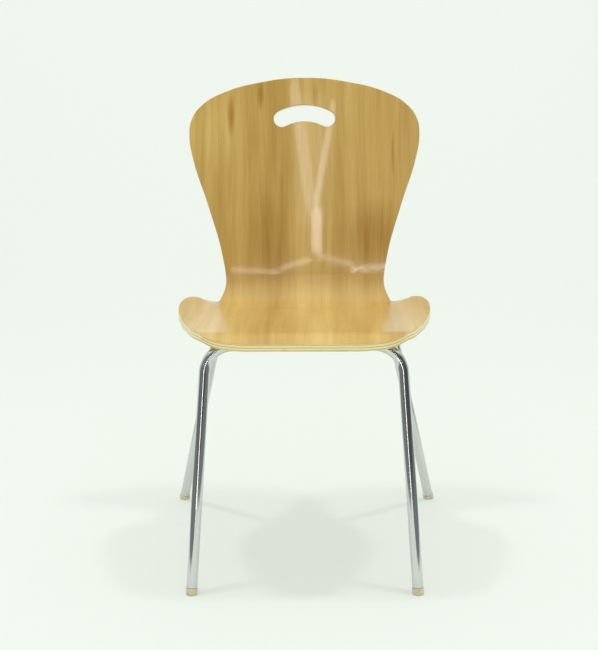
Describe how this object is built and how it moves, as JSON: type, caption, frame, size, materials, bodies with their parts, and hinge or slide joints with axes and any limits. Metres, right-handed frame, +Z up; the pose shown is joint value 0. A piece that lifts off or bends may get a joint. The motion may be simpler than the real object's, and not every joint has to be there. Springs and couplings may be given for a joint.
{
  "type": "stacking chair",
  "caption": "Stacking side chair: a one-piece pressed plywood seat and back with a hand-hold, on a chromed bent-tube frame with plastic glides.",
  "frame": {"origin": "on the floor, under the middle of the chair's bounding box", "axes": "+Z up, +X to the right as seen from the front, the sitter faces -Y"},
  "size_m": [0.5212, 0.491, 0.8516],
  "materials": {
    "shell_ply": "honey-coloured veneer under gloss lacquer, pale ply edge",
    "frame_chrome": "polished chrome plate",
    "rail_steel": "zinc plate",
    "fixing_steel": "zinc plate",
    "spacer_plastic": "moulded, matt",
    "buffer_rubber": "moulded, matt",
    "glide_plastic": "amber translucent plastic, satin"
  },
  "bodies": {
    "root": {"seat_shell": "shell_ply", "front_leg_frame": "frame_chrome", "rear_leg_frame": "frame_chrome", "seat_rail_left": "rail_steel", "seat_rail_right": "rail_steel", "seat_screw_front_left": "fixing_steel", "seat_screw_front_right": "fixing_steel", "seat_screw_rear_left": "fixing_steel", "seat_screw_rear_right": "fixing_steel", "washer_front_left": "fixing_steel", "washer_front_right": "fixing_steel", "washer_rear_left": "fixing_steel", "washer_rear_right": "fixing_steel", "t_nut_front_left": "fixing_steel", "t_nut_front_right": "fixing_steel", "t_nut_rear_left": "fixing_steel", "t_nut_rear_right": "fixing_steel", "seat_spacer_front_left": "spacer_plastic", "seat_spacer_front_right": "spacer_plastic", "seat_spacer_rear_left": "spacer_plastic", "seat_spacer_rear_right": "spacer_plastic", "stacking_buffer_left": "buffer_rubber", "stacking_buffer_right": "buffer_rubber", "front_glide_left": "glide_plastic", "front_glide_right": "glide_plastic", "rear_glide_left": "glide_plastic", "rear_glide_right": "glide_plastic"}
  },
  "joints": []
}
